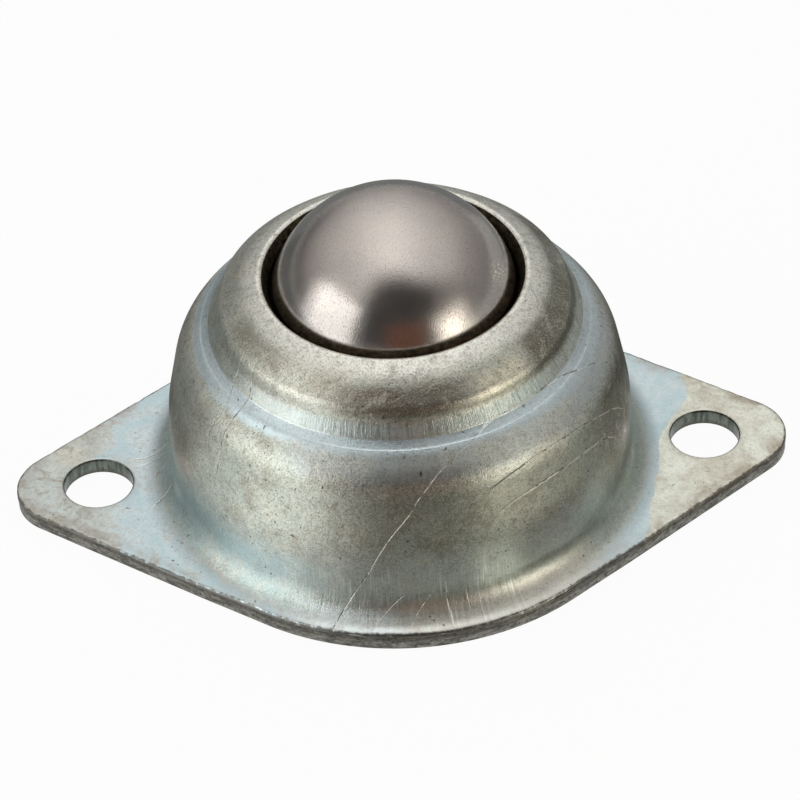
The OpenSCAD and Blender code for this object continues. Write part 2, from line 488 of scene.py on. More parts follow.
cap_path = [np.array([0, cap_low[2]]), np.array([BORE_R, cap_low[2]]), np.array([BORE_R, cap_high[2]])]
cap_out = bent(cap_path, [0, CAP_BEND, 0], step=8, longest=1.5)
cap_in = bent(shifted(cap_path, -CAP_T), [0, CAP_BEND - CAP_T, 0], step=15, longest=1.5)[::-1]
top = cap_high[2]
quarter = np.radians([0, 30, 60, 90])
rim = [(BORE_R - CAP_EDGE * (1 - math.cos(t)), top - CAP_EDGE * (1 - math.sin(t))) for t in quarter]
rim += [(BORE_R - CAP_T + CAP_EDGE * (1 - math.sin(t)), top - CAP_EDGE * (1 - math.cos(t))) for t in quarter]
below, above = ([tuple(p) for p in face if p[1] < top - CAP_EDGE * 1.01]
                for face in (cap_out[:-1], cap_in[1:]))
cap_data = lathe("pressed_cap", below + rim + above, around=144)
for p in cap_data.polygons:
    p.use_smooth = True
cap = link("pressed_cap", cap_data)


# ---- node trees ----

def srgb(r, g, b):
    """A colour as the eye reads it, 0 to 255, as linear light."""
    return tuple(c / 12.92 if c <= 0.04045 else ((c + 0.055) / 1.055) ** 2.4
                 for c in (r / 255, g / 255, b / 255)) + (1.0,)


class Tree:
    """A node tree, with short calls for the nodes it uses. Sockets and plain values both serve as inputs."""

    def __init__(self, owner):
        owner.use_nodes = True
        self.owner = owner
        self.tree = owner.node_tree

    def feed(self, made, inputs):
        for key, value in inputs.items():
            if isinstance(value, bpy.types.NodeSocket):
                self.tree.links.new(value, made.inputs[key])
            else:
                made.inputs[key].default_value = value

    def node(self, kind, inputs=None, **settings):
        made = self.tree.nodes.new(kind)
        for key, value in settings.items():
            setattr(made, key, value)
        self.feed(made, inputs or {})
        return made

    def math(self, operation, *values):
        return self.node("ShaderNodeMath", dict(enumerate(values)), operation=operation).outputs[0]

    def chain(self, operation, first, *rest):
        for value in rest:
            first = self.math(operation, first, value)
        return first

    def times(self, *values):
        return self.chain("MULTIPLY", *values)

    def plus(self, *values):
        return self.chain("ADD", *values)

    def most(self, *values):
        return self.chain("MAXIMUM", *values)

    def step(self, value, low, high, bottom=0.0, top=1.0):
        """Rises smoothly from bottom to top as value goes from low to high."""
        return self.node("ShaderNodeMapRange", {0: value, 1: low, 2: high, 3: bottom, 4: top},
                         interpolation_type="SMOOTHSTEP").outputs[0]

    def band(self, value, low, high, soft):
        """1 from low to high, and 0 outside, with a ramp of soft to either side of each end."""
        return self.times(self.step(value, low - soft, low + soft),
                          self.step(value, high - soft, high + soft, 1.0, 0.0))

    def mix(self, share, first, second):
        return self.node("ShaderNodeMix", {0: share, 6: first, 7: second}, data_type="RGBA").outputs[2]

    def paint(self, under, over, *shares):
        """The colour under, covered with the colour over by the product of the shares."""
        return self.mix(self.times(*shares), under, over)


class Material(Tree):
    """A new material with an empty node tree."""

    def __init__(self, name):
        super().__init__(bpy.data.materials.new(name))
        self.tree.nodes.clear()

    def surface(self, shader):
        self.node("ShaderNodeOutputMaterial", {0: shader.outputs[0]})
        return self.owner


# Ends of the curves' ranges: lengths along the part, and angles round it
LENGTHS, ANGLES = (0, 30), (-180, 180)
DRUM_R = 20


class Steel(Material):
    """A material of the part, with places on it in mm.

    Places are the object's own. Angles are from the front, positive to the right.
    """

    def __init__(self, name):
        super().__init__(name)
        self.place = self.vector("MULTIPLY", self.node("ShaderNodeTexCoord").outputs["Object"], (1 / MM,) * 3)
        self.x, self.y, self.z = self.node("ShaderNodeSeparateXYZ", {0: self.place}).outputs
        self.from_axis = self.node("ShaderNodeCombineXYZ", {0: self.x, 1: self.y}).outputs[0]
        self.r = self.vector("LENGTH", self.from_axis)
        self.angle = self.math("DEGREES", self.math("ARCTAN2", self.x, self.times(self.y, -1)))

    def vector(self, operation, *values):
        made = self.node("ShaderNodeVectorMath", dict(enumerate(values)), operation=operation)
        return made.outputs["Value" if operation in ("LENGTH", "DISTANCE") else "Vector"]

    def noise(self, wavelength, detail=2.0, rough=0.5, place=None, warp=0.0):
        """Noise from 0 to 1 with features about one wavelength apart."""
        inputs = {"Vector": place or self.place, "Scale": 1 / wavelength, "Detail": detail,
                  "Roughness": rough, "Distortion": warp}
        return self.node("ShaderNodeTexNoise", inputs).outputs[0]

    def scaled(self, x, y, z):
        return self.vector("MULTIPLY", self.place, (x, y, z))

    def round_the_axis(self, squeeze):
        """Places on a drum, squeezed along its height, so that noise runs up and down the wall."""
        spoke = self.vector("NORMALIZE", self.from_axis)
        drum = self.node("ShaderNodeVectorMath", {0: spoke, "Scale": DRUM_R}, operation="SCALE")
        lift = self.node("ShaderNodeCombineXYZ", {2: self.math("DIVIDE", self.z, squeeze)})
        return self.vector("ADD", drum.outputs["Vector"], lift.outputs[0])

    def zones(self, table):
        """The sum of zones given as (low, high, soft) in height, the same in angle, and a strength."""
        return self.plus(*(self.times(self.band(self.z, *heights), self.band(self.angle, *angles), strength)
                           for heights, angles, strength in table))

    def bump(self, height, depth_mm, normal=None):
        inputs = {"Height": height, "Distance": depth_mm * MM, "Strength": 1.0}
        if normal:
            inputs["Normal"] = normal
        return self.node("ShaderNodeBump", inputs).outputs[0]

    def curve(self, value, knots, low_high, results):
        """A smooth line through knots (value, result). Both ranges are LENGTHS or ANGLES."""
        (v0, v1), (r0, r1) = low_high, results
        share = self.node("ShaderNodeMapRange", {0: value, 1: v0, 2: v1}).outputs[0]
        made = self.node("ShaderNodeFloatCurve", {"Value": share})
        line = made.mapping.curves[0]
        made.mapping.extend = "HORIZONTAL"
        for k, (v, r) in enumerate(knots):
            p = (v - v0) / (v1 - v0), (r - r0) / (r1 - r0)
            if k < len(line.points):
                line.points[k].location = p
            else:
                line.points.new(*p)
        made.mapping.update()
        return self.plus(self.times(made.outputs[0], r1 - r0), r0)

    def finish(self, **inputs):
        """Ends the material with a principled shader. Inputs are named as its sockets, with _ for a space."""
        named = {key.replace("_", " "): value for key, value in inputs.items()}
        return self.surface(self.node("ShaderNodeBsdfPrincipled", named))


# ---- long scratches on the housing ----

# Strength, width, and where they run. The first list gives (height, angle) down the wall, the second
# (angle, height) round it, the third (radius, angle) out along the flange.
SCRATCHES_DOWN = [
    (1.0, 0.16, [(1.8, -20), (6, -13.5), (10.7, -7), (13, -2), (15.2, 2.5), (16.8, 9), (18.1, 19)]),
    (0.7, 0.13, [(13, -60.5), (15, -61), (17.8, -60.5), (18.7, -62.3), (21.2, -62.7)]),
    (0.9, 0.15, [(11.8, -56), (14.7, -55.5), (16.3, -56), (18.4, -54.5), (19.8, -55.3), (21.6, -56.3)]),
    (0.6, 0.12, [(1.75, -11.6), (4.4, -4)]),
    (0.8, 0.13, [(2.1, -2.5), (4.6, 3)]),
    (0.9, 0.2, [(1.8, 6.8), (5.6, 6.3)]),
    (0.6, 0.14, [(2.7, 11.6), (4.3, 11.2)]),
]
SCRATCHES_ROUND = [
    (0.9, 0.14, [(19, 18.1), (26, 18.65), (46, 18.74), (60, 18.0), (75, 15.3)]),
    (0.95, 0.17, [(11.5, 12.3), (19.5, 14.2), (32, 15.2), (47, 15.1), (58.5, 14.0), (72, 11.0)]),
    (1.0, 0.25, [(21.5, 11.6), (27.5, 12.4), (39.5, 12.7), (53, 12.2), (63, 10.2)]),
]
SCRATCHES_OUT = [
    (0.9, 0.24, [(21.2, -99.2), (22.5, -97.6), (24.3, -96.4)]),
    (0.8, 0.22, [(21.1, -96.3), (22.5, -95.2), (24.0, -94)]),
    (0.8, 0.22, [(21.2, -91.6), (22.5, -89.7)]),
    (0.9, 0.24, [(20.6, -83), (21.8, -81.6), (23.1, -80)]),
]
SCRATCH_CORE, SCRATCH_RIM = 0.12, 0.5
FADE_LENGTH, FADE_ANGLE = 0.3, 2.0


def scratch_mask(t):
    """How deep the long scratches are at a point, 0 to 1, wandering a little and broken here and there."""
    lines = []
    wander = t.times(t.plus(t.noise(4, 1), -0.5), 0.16)
    broken = t.step(t.noise(0.9, 4, 0.7), 0.36, 0.52, 0.35, 1.0)
    low_down = t.step(t.z, 2.5, 4.0, 1.0, 0.0)
    for across, along, table in ((t.angle, t.z, SCRATCHES_DOWN), (t.z, t.angle, SCRATCHES_ROUND),
                                 (t.angle, t.r, SCRATCHES_OUT)):
        by_angle = table is not SCRATCHES_ROUND
        for strength, width, knots in table:
            course = t.curve(along, knots, *((LENGTHS, ANGLES) if by_angle else (ANGLES, LENGTHS)))
            off = t.math("SUBTRACT", across, course)
            if by_angle:
                off = t.times(off, t.r, math.pi / 180)
            off = t.math("ABSOLUTE", t.plus(off, wander))
            extent = t.band(along, knots[0][0], knots[-1][0], FADE_LENGTH if by_angle else FADE_ANGLE)
            depth = t.step(off, width * SCRATCH_CORE, width * SCRATCH_RIM, strength, 0.0)
            lines.append(t.times(depth, extent, low_down if table is SCRATCHES_OUT else 1.0))
    return t.times(t.most(*lines), broken)


# ---- zinc plate ----

ZINC = {name: srgb(*rgb) for name, rgb in {
    "warm": (217, 216, 204), "green": (212, 217, 205), "brown": (184, 176, 158),
    "crown_top_highlight": (251, 251, 243), "crown_right_highlight": (252, 246, 222),
    "blue": (194, 216, 223), "pale blue": (211, 225, 230),
    "teal right": (190, 208, 197), "teal left": (174, 205, 209), "teal front": (202, 207, 190),
    "ear right": (244, 248, 236), "ear left": (218, 214, 202),
    "ear patch right": (228, 226, 212), "ear patch left": (212, 201, 181),
    "under_crest_highlight": (224, 224, 228), "step": (226, 242, 248),
    "foot_left_highlight": (236, 246, 248), "foot_right_wear_and_highlight": (233, 228, 216),
    "tarnish_and_shade": (141, 131, 116), "deep_tarnish_and_shade": (122, 117, 102),
    "light blotch": (240, 236, 219), "dark blotch": (148, 146, 133), "cloud": (150, 144, 126),
    "fleck": (124, 119, 107), "dark grain": (112, 110, 99), "light grain": (246, 246, 236),
    "pit": (70, 60, 50),
    "neck right": (214, 232, 231), "neck left": (222, 240, 244), "draw mark": (108, 118, 114),
    "bright line": (250, 252, 248), "dark line": (112, 112, 100),
    "stain": (168, 150, 128), "dark stain": (128, 112, 96), "spot": (188, 170, 150), "sheared": (92, 84, 73),
    "neck_crease_highlight": (232, 240, 240), "scratch": (84, 74, 60), "bare steel": (246, 244, 236)}.items()}

# Zones of the wall, as Steel.zones takes them
# The first zone is a painted highlight on the crown, right of the front.
CROWN_RIGHT_HIGHLIGHT = [((20.2, 22.1, 0.4), (22, 43, 3.5), 1.0)]
# Tarnish zones that also carry painted shade: the crown's front, right and upper left, and the body's front
# and both sides.
CROWN_TARNISH_AND_SHADE = [((20.3, 22.3, 0.3), (-24, 20, 9), 1.0),
                 ((19.7, 22.6, 0.3), (46, 125, 4), 1.0),
                 ((21.5, 22.8, 0.4), (-75, -46, 6), 0.6)]
BODY_TARNISH_AND_SHADE = [((12.5, 16.2, 2.5), (-16, 18, 12), 0.5),
                ((4.5, 15.5, 1.5), (58, 130, 9), 1.0),
                ((7.0, 12.5, 2.0), (-130, -67, 5), 1.0)]

# Heights where the look changes, and how far out the wall is at its foot. The cap, which has the
# same plate, is nearer the axis.
FLANGE_ENDS = 1.75, 2.6
NECK_FOOT = 18.7
WALL_OUT = 19.4, 20.2


def zinc_plate(name, scratched):
    """Zinc plate on pressed steel: cool where it is clean, grey-brown and grainy where it was handled."""
    t = Steel(name)
    edge = t.node("ShaderNodeAttribute", attribute_name="edge_mm").outputs["Fac"]
    drift = t.noise(9, 3, 0.55)
    patch = t.noise(3.2, 4, 0.6, warp=0.6)
    cloud = t.noise(1.1, 4, 0.65)
    fleck = t.noise(0.36, 3, 0.7)
    grain = t.noise(0.14, 2, 0.7)
    flat = t.step(t.z, *FLANGE_ENDS, 1.0, 0.0)
    wall = t.step(t.r, *WALL_OUT)
    side_x = t.math("ABSOLUTE", t.x)
    on_left = t.step(t.x, -1, 1, 1.0, 0.0)

    # where the plate is clean: on the flange near the wall, at the wall's foot, under the crest, on the step
    to_left = t.times(on_left, t.step(t.plus(side_x, t.times(patch, 7)), 29.0, 32.5, 1.0, 0.0))
    border = t.plus(t.r, t.times(patch, 1.4), t.step(t.y, -1, 7, 0.0, -4.5), t.step(t.y, -14, -8, -1.2, 0.0))
    to_right = t.times(t.step(on_left, 0, 1, 1.0, 0.0), t.step(border, 23.7, 24.0, 1.0, 0.0))
    near_wall = t.times(flat, t.plus(to_left, to_right))
    right_ear = t.times(flat, t.step(t.plus(on_left, near_wall), 0, 1, 1.0, 0.0))
    foot = t.times(t.step(t.z, 5.0, 10.0, 1.0, 0.0), t.step(patch, 0.25, 0.6, 0.45, 1.0),
                   t.step(right_ear, 0, 1, 1.0, 0.3))
    # clean plate under the crest, which is also lightened there as a painted highlight
    under_crest_clean_and_highlight = t.times(t.band(t.z, 15.9, 18.4, 0.9), t.step(drift, 0.42, 0.58, 0.45, 1.0),
                          t.step(t.angle, -40, -26, 0.15, 1.0))
    wider = t.step(t.math("ABSOLUTE", t.angle), 30, 50, 0.0, 0.35)
    on_step = t.times(t.step(t.plus(t.z, wider), 17.35, 18.05), t.step(t.z, 18.6, 18.74, 1.0, 0.0))
    clean = t.most(t.times(on_step, 0.85), t.times(foot, 0.75), t.times(under_crest_clean_and_highlight, 0.7), near_wall)
    clean = t.math("MINIMUM", clean, 1.0)

    # the handled plate's colour, the clean plate's, and that of the ears' tips
    patina = t.mix(t.step(drift, 0.38, 0.62), ZINC["warm"], ZINC["green"])
    patina = t.paint(patina, ZINC["brown"], t.step(patch, 0.48, 0.66, 0.0, 0.6))
    # painted highlight: the crown's top beside the lip is lightened almost to white
    patina = t.paint(patina, ZINC["crown_top_highlight"], t.step(t.z, 22.3, 23.3), 0.9)
    # painted highlight: a warm, near-white patch on the crown right of the front, broken up by noise
    patina = t.paint(patina, ZINC["crown_right_highlight"], t.zones(CROWN_RIGHT_HIGHLIGHT), t.step(cloud, 0.32, 0.48))
    blue = t.mix(t.step(patch, 0.35, 0.65), ZINC["blue"], ZINC["pale blue"])
    teal = t.mix(on_left, ZINC["teal right"], ZINC["teal left"])
    teal = t.paint(teal, ZINC["teal front"], t.band(t.angle, -24, 50, 12))
    blue = t.paint(blue, teal, foot, t.step(flat, 0, 1, 0.75, 0.0))
    ear = t.mix(on_left, ZINC["ear right"], ZINC["ear left"])
    ear_patch = t.mix(on_left, ZINC["ear patch right"], ZINC["ear patch left"])
    ear = t.paint(ear, ear_patch, t.step(patch, 0.4, 0.62))
    colour = t.mix(clean, patina, blue)
    # painted highlight: the band under the crest is lightened beyond the clean plate's colour
    colour = t.paint(colour, ZINC["under_crest_highlight"], under_crest_clean_and_highlight, 0.35)
    colour = t.paint(colour, ZINC["step"], on_step, 0.8)
    colour = t.paint(colour, ear, flat, t.step(clean, 0.1, 0.9, 1.0, 0.0))

    # painted highlights on the foot of the wall, left and right of the front; on the right they also stand for
    # the lighter, scratched plate
    colour = t.paint(colour, ZINC["foot_left_highlight"], wall, t.step(t.z, 2.5, 3.6, 0.9, 0.0),
                     t.band(t.angle, -28, -5, 7))
    colour = t.paint(colour, ZINC["foot_right_wear_and_highlight"], t.band(t.angle, -5, 44, 8), wall,
                     t.step(t.z, 2.9, 4.8, 1.0, 0.0), 0.7)

    # tarnish on the crown and on the body, with painted shade in the same zones, darker on the right
    tarnish_and_shade = t.mix(t.step(t.angle, 40, 50), ZINC["tarnish_and_shade"], ZINC["deep_tarnish_and_shade"])
    colour = t.paint(colour, tarnish_and_shade, t.most(t.zones(CROWN_TARNISH_AND_SHADE), t.zones(BODY_TARNISH_AND_SHADE)),
                     t.step(patch, 0.2, 0.6, 0.6, 0.95))

    # grain and pits of the handled plate
    handled = t.times(t.step(clean, 0.0, 0.9, 1.0, 0.45), t.step(flat, 0, 1, 1.0, 0.48))
    blotch = t.noise(1.7, 5, 0.7, warp=0.8)
    for tint, mask, strength in (("light blotch", t.step(blotch, 0.54, 0.64), 0.45),
                                 ("dark blotch", t.step(blotch, 0.34, 0.46, 1.0, 0.0), 0.4),
                                 ("cloud", t.step(cloud, 0.5, 0.7), 0.36),
                                 ("fleck", t.step(fleck, 0.48, 0.66), 0.34),
                                 ("dark grain", t.step(grain, 0.5, 0.66), 0.46),
                                 ("light grain", t.step(grain, 0.32, 0.48, 1.0, 0.0), 0.5)):
        colour = t.paint(colour, ZINC[tint], mask, handled, strength)
    colour = t.paint(colour, ZINC["pit"], t.step(t.noise(0.45, 1), 0.7, 0.76), 0.75,
                     t.step(t.noise(5, 0), 0.45, 0.6))

    # draw marks down the neck's flare, and fine ones on the lower wall
    marks = t.noise(0.15, 2, 0.6, place=t.round_the_axis(16))
    deep = t.noise(0.34, 2, 0.6, place=t.round_the_axis(24))
    neck = t.times(t.band(t.z, NECK_FOOT, 20.0, 0.3), t.plus(t.times(t.band(t.angle, -32, 70, 18), 0.7), 0.3))
    colour = t.paint(colour, t.mix(on_left, ZINC["neck right"], ZINC["neck left"]),
                     t.band(t.z, NECK_FOOT, 19.8, 0.3), t.step(t.angle, -75, -35, 0.1, 0.5),
                     t.step(t.angle, 42, 62, 1.0, 0.4))
    colour = t.paint(colour, ZINC["draw mark"], neck, t.step(marks, 0.5, 0.62), 0.42)
    low_wall = t.times(wall, t.band(t.z, 1.75, 6.5, 2.0), t.step(t.noise(4, 2), 0.34, 0.5),
                       t.band(t.angle, -34, 26, 9))
    lines = t.most(t.times(t.step(marks, 0.54, 0.64), 0.45), t.step(deep, 0.59, 0.64))
    colour = t.paint(colour, ZINC["bright line"], low_wall, lines, 0.95)
    colour = t.paint(colour, ZINC["dark line"], low_wall, t.step(marks, 0.3, 0.44, 0.35, 0.0))

    # brown stains at the sheared edge, the ears' tips and the holes
    folded = t.node("ShaderNodeCombineXYZ", {0: side_x, 1: t.y}).outputs[0]
    hole = t.vector("DISTANCE", folded, (HOLE_X, 0, 0))
    brink = t.times(t.step(t.plus(edge, t.times(patch, -3.2)), -1.6, 0.1, 1.0, 0.0), flat,
                    t.step(t.y, -18, -10, 0.3, 1.0))
    ring = t.times(t.step(hole, HOLE_R + 0.1, HOLE_R + 1.3, 1.0, 0.0), flat)
    smear = t.noise(2.2, 4, 0.7, warp=1.2)
    far = t.times(flat, t.step(side_x, 25.5, 30, 0.0, 1.0), t.step(on_left, 0, 1, 0.45, 1.0),
                  t.step(smear, 0.47, 0.62))
    stain = t.most(t.times(brink, t.step(patch, 0.35, 0.6)), t.times(ring, 0.4), far)
    colour = t.paint(colour, t.mix(t.step(fleck, 0.4, 0.6), ZINC["stain"], ZINC["dark stain"]), stain, 0.4)
    colour = t.paint(colour, ZINC["spot"], flat, on_left, t.step(patch, 0.4, 0.6),
                     t.step(fleck, 0.48, 0.6), 0.35)
    ragged = t.step(t.plus(edge, t.times(t.noise(0.5, 3), -0.6)), -0.24, -0.08, 1.0, 0.0)
    colour = t.paint(colour, ZINC["sheared"], ragged, 0.75)
    # painted highlight: a thin light line along the crease at the neck's foot
    colour = t.paint(colour, ZINC["neck_crease_highlight"], t.band(t.z, 18.6, NECK_FOOT, 0.05), 0.5)

    # the clean plate is smoother and less grainy than the handled one
    rough = t.times(t.step(t.plus(clean, near_wall), 0, 2, 0.34, 0.17), t.step(patch, 0.3, 0.7, 0.9, 1.12))
    rough = t.plus(rough, t.times(stain, 0.12))
    rough = t.plus(rough, t.times(t.band(t.z, 1.65, 3.2, 0.5), 0.11),
                   t.times(t.band(t.z, 16.7, 17.8, 0.8), 0.22))
    height = t.plus(t.times(grain, 0.5), t.times(fleck, 0.5))
    grainy = t.step(near_wall, 0, 1, t.plus(t.times(handled, 0.7), 0.3), 0.25)
    normal = t.bump(t.times(height, grainy), 0.05)
    normal = t.bump(t.times(marks, t.plus(neck, t.times(low_wall, 0.7))), 0.025, normal)
    if scratched:
        scratch = scratch_mask(t)
        bare = t.step(t.noise(1.1, 3, 0.6), 0.42, 0.5)
        colour = t.paint(colour, t.mix(bare, ZINC["scratch"], ZINC["bare steel"]), scratch, 0.8)
        normal = t.bump(t.times(scratch, -1), 0.03, normal)
    return t.finish(Base_Color=colour, Metallic=0.9, Roughness=rough, Normal=normal)


# ---- the other finishes ----

def sheared_edge(name):
    """The cut edge of the sheet: a smooth burnished band over a torn, dark one."""
    t = Steel(name)
    layer = t.noise(0.6, 3, 0.65, place=t.scaled(0.5, 0.5, 1.6))
    tear = t.noise(0.3, 3, 0.7)
    upper = t.step(t.plus(t.z, t.times(layer, 0.5)), 1.0, 1.35)
    colour = t.mix(t.step(layer, 0.38, 0.62), srgb(94, 93, 87), srgb(140, 139, 131))
    colour = t.paint(colour, srgb(88, 80, 70), upper, 0.55)
    colour = t.paint(colour, srgb(62, 60, 54), t.step(tear, 0.52, 0.68, 0.0, 0.6))
    colour = t.paint(colour, srgb(186, 181, 168), t.step(tear, 0.26, 0.38, 0.4, 0.0))
    return t.finish(Base_Color=colour, Metallic=0.95, Roughness=t.step(tear, 0.3, 0.7, 0.36, 0.6),
                    Normal=t.bump(t.plus(layer, tear), 0.08))


def lip_cut(name):
    """The cut rim round the ball: olive-grey made near black as painted shade of the gap at the ball, worn
    bright along its upper edge.
    """
    t = Steel(name)
    worn = t.noise(0.5, 3, 0.6)
    # painted shade: the cut face's colour is made near black, as the gap round the ball is in shade
    colour = t.mix(t.step(worn, 0.35, 0.65), srgb(40, 35, 28), srgb(84, 77, 60))
    colour = t.paint(colour, srgb(214, 214, 204), t.step(t.z, 23.5, 23.72), t.step(worn, 0.3, 0.55), 0.8)
    return t.finish(Base_Color=colour, Metallic=1.0, Roughness=0.42, Normal=t.bump(worn, 0.05))


def hole_wall(name):
    """The punched wall of a fixing hole, with marks along the punch's travel."""
    t = Steel(name)
    around = t.noise(0.35, 3, 0.6, place=t.scaled(1, 1, 0.15))
    colour = t.mix(t.step(around, 0.35, 0.65), srgb(74, 80, 74), srgb(118, 124, 118))
    colour = t.paint(colour, srgb(84, 80, 72), t.step(t.z, 0.1, 0.6, 0.7, 0.0))
    return t.finish(Base_Color=colour, Metallic=1.0, Roughness=t.step(around, 0.3, 0.7, 0.28, 0.45),
                    Normal=t.bump(around, 0.03))


# How the ball's three families of hair marks are turned, and where painted glints sit on it
HAIR_TURNS = (0.3, 0.5, 0.0), (1.2, -0.4, 0.9), (-0.7, 1.1, 2.0)
HAIR_STRETCH = 1.0, 1.0, 0.06
GLINT_SPOT = 9.0, -3.3, 25.3


def polished_steel(name):
    """The load ball: polished, with hair-fine rolling marks in every direction."""
    t = Steel(name)
    hair = t.plus(*(t.noise(0.11, 2, 0.6, place=t.node(
        "ShaderNodeMapping", {"Vector": t.place, "Rotation": turn, "Scale": HAIR_STRETCH}).outputs[0])
        for turn in HAIR_TURNS))
    cloud = t.noise(5, 3, 0.6)
    speck = t.noise(0.16, 2, 0.7)
    painted_glints = t.step(t.plus(t.vector("DISTANCE", t.place, GLINT_SPOT), t.times(cloud, 2)), 1.4, 2.8, 1.0, 0.0)
    colour = t.mix(t.step(cloud, 0.35, 0.65), srgb(196, 189, 185), srgb(204, 196, 190))
    colour = t.paint(colour, srgb(150, 142, 136), t.step(hair, 1.58, 1.8, 0.0, 0.5))
    colour = t.paint(colour, srgb(240, 232, 216), t.step(speck, 0.62, 0.72),
                     t.step(t.noise(3, 2), 0.46, 0.6), 0.5)
    # painted glints: warm, near-white specks round one spot on the ball
    colour = t.paint(colour, srgb(255, 246, 222), painted_glints, t.step(speck, 0.5, 0.6))
    rough = t.step(t.plus(t.times(hair, 0.3), t.times(cloud, 0.4)), 0.45, 0.85, 0.15, 0.27)
    return t.finish(Base_Color=colour, Metallic=1.0, Roughness=rough,
                    Normal=t.bump(t.plus(hair, t.times(speck, 0.3)), 0.005))


def hardened_steel(name, light, dark, rough_low, rough_high):
    """Plain ground or hardened steel with a faint cloudiness."""
    t = Steel(name)
    cloud = t.noise(1.6, 3, 0.6)
    fine = t.noise(0.2, 2, 0.6)
    return t.finish(Base_Color=t.mix(t.step(cloud, 0.35, 0.65), light, dark), Metallic=1.0,
                    Roughness=t.step(fine, 0.3, 0.7, rough_low, rough_high), Normal=t.bump(fine, 0.006))


# ---- finishes on pieces, and the bodies they hang from ----

def give(obj, *materials):
    obj.data.materials.clear()
    for material in materials:
        obj.data.materials.append(material)


# Clearing the materials also clears each face's choice of one, so the housing's are kept and set again.
indices = np.empty(len(housing.data.polygons), np.int32)
housing.data.polygons.foreach_get("material_index", indices)
give(housing, zinc_plate("zinc_plate", True), sheared_edge("sheared_edge"), lip_cut("lip_cut"),
     hole_wall("hole_wall"))
housing.data.polygons.foreach_set("material_index", indices)
give(ball, polished_steel("polished_steel"))
give(cap, zinc_plate("zinc_cap", False))

cup_material = hardened_steel("hardened_cup", srgb(120, 118, 116), srgb(98, 95, 92), 0.3, 0.45)
bearing_material = hardened_steel("bearing_steel", srgb(206, 206, 208), srgb(190, 190, 192), 0.1, 0.18)
for name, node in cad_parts.items():
    if name == "ball_cup" or name.startswith("bearing_ball_"):
        for place in node.material_slots:
            place.material = cup_material if name == "ball_cup" else bearing_material

for piece, body, node, slot in ((housing, "housing_assembly", "housing", "housing_zinc"),
                                (cap, "housing_assembly", "closing_cap", "cap_zinc"),
                                (ball, "load_ball", "load_ball", "load_ball_steel")):
    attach(piece, body)
    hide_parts(node)


# ---- camera: the photograph's angle ----

CAMERA_AZIMUTH, CAMERA_ELEVATION, CAMERA_ROLL = -2.643, 41.54, -2.87
CAMERA_DISTANCE = 362.64
AIM = Vector((0.24, 4.26, 4.82))
LENS, SENSOR = 180, 36
CLIP_NEAR_M, CLIP_FAR_M = 0.01, 20


def towards(azimuth, elevation):
    """Direction from the part. Azimuth is from the front, positive to the right; both in degrees."""
    a, e = math.radians(azimuth), math.radians(elevation)
    return Vector((math.sin(a) * math.cos(e), -math.cos(a) * math.cos(e), math.sin(e)))


back = towards(CAMERA_AZIMUTH, CAMERA_ELEVATION)
level = Vector((math.cos(math.radians(CAMERA_AZIMUTH)), math.sin(math.radians(CAMERA_AZIMUTH)), 0))
upright = back.cross(level)
roll = math.radians(CAMERA_ROLL)
right = level * math.cos(roll) + upright * math.sin(roll)
upward = upright * math.cos(roll) - level * math.sin(roll)
camera_data = bpy.data.cameras.new("camera")
camera_data.lens = LENS
camera_data.sensor_width = SENSOR
camera_data.clip_start, camera_data.clip_end = CLIP_NEAR_M, CLIP_FAR_M
camera = bpy.data.objects.new("camera", camera_data)
turned = Matrix((right, upward, back)).transposed().to_4x4()
camera.matrix_world = Matrix.Translation((AIM + back * CAMERA_DISTANCE) * MM) @ turned
bpy.context.scene.collection.objects.link(camera)
bpy.context.scene.camera = camera


# ---- light: distances and sizes of the lamps and the curved card are in metres ----

CENTRE = Vector((0, 0, 0.015))


def soft_box(name, azimuth, elevation, distance, width, height, radiance, colour):
    """A rectangular lamp that faces the part. Radiance 1 shows as white in a mirror."""
    data = bpy.data.lights.new(name, "AREA")
    data.shape = "RECTANGLE"
    data.size, data.size_y = width, height
    data.energy = radiance * math.pi * width * height
    data.color = colour
    lamp = bpy.data.objects.new(name, data)
    away = towards(azimuth, elevation)
    lamp.location = CENTRE + away * distance
    lamp.rotation_euler = away.to_track_quat("Z", "Y").to_euler()
    lamp.visible_camera = False
    bpy.context.scene.collection.objects.link(lamp)


soft_box("left_box", -63, 17, 0.5, 0.375, 0.34, 1.44, (0.99, 1.0, 0.975))
soft_box("left_edge", -88, 14, 0.5, 0.13, 0.28, 0.85, (0.99, 1.0, 0.98))
soft_box("right_lamp", 48.5, 6, 0.5, 0.18, 0.17, 1.7, (1.0, 0.96, 0.85))
soft_box("right_glow", 49, 6, 0.52, 0.34, 0.32, 0.65, (1.0, 0.96, 0.84))

# Normal of the plane where the ceiling ends above the front
BORDER_Y, BORDER_Z = 0.906, 0.423
CEILING_COLOUR = 1.0, 0.985, 0.96, 1


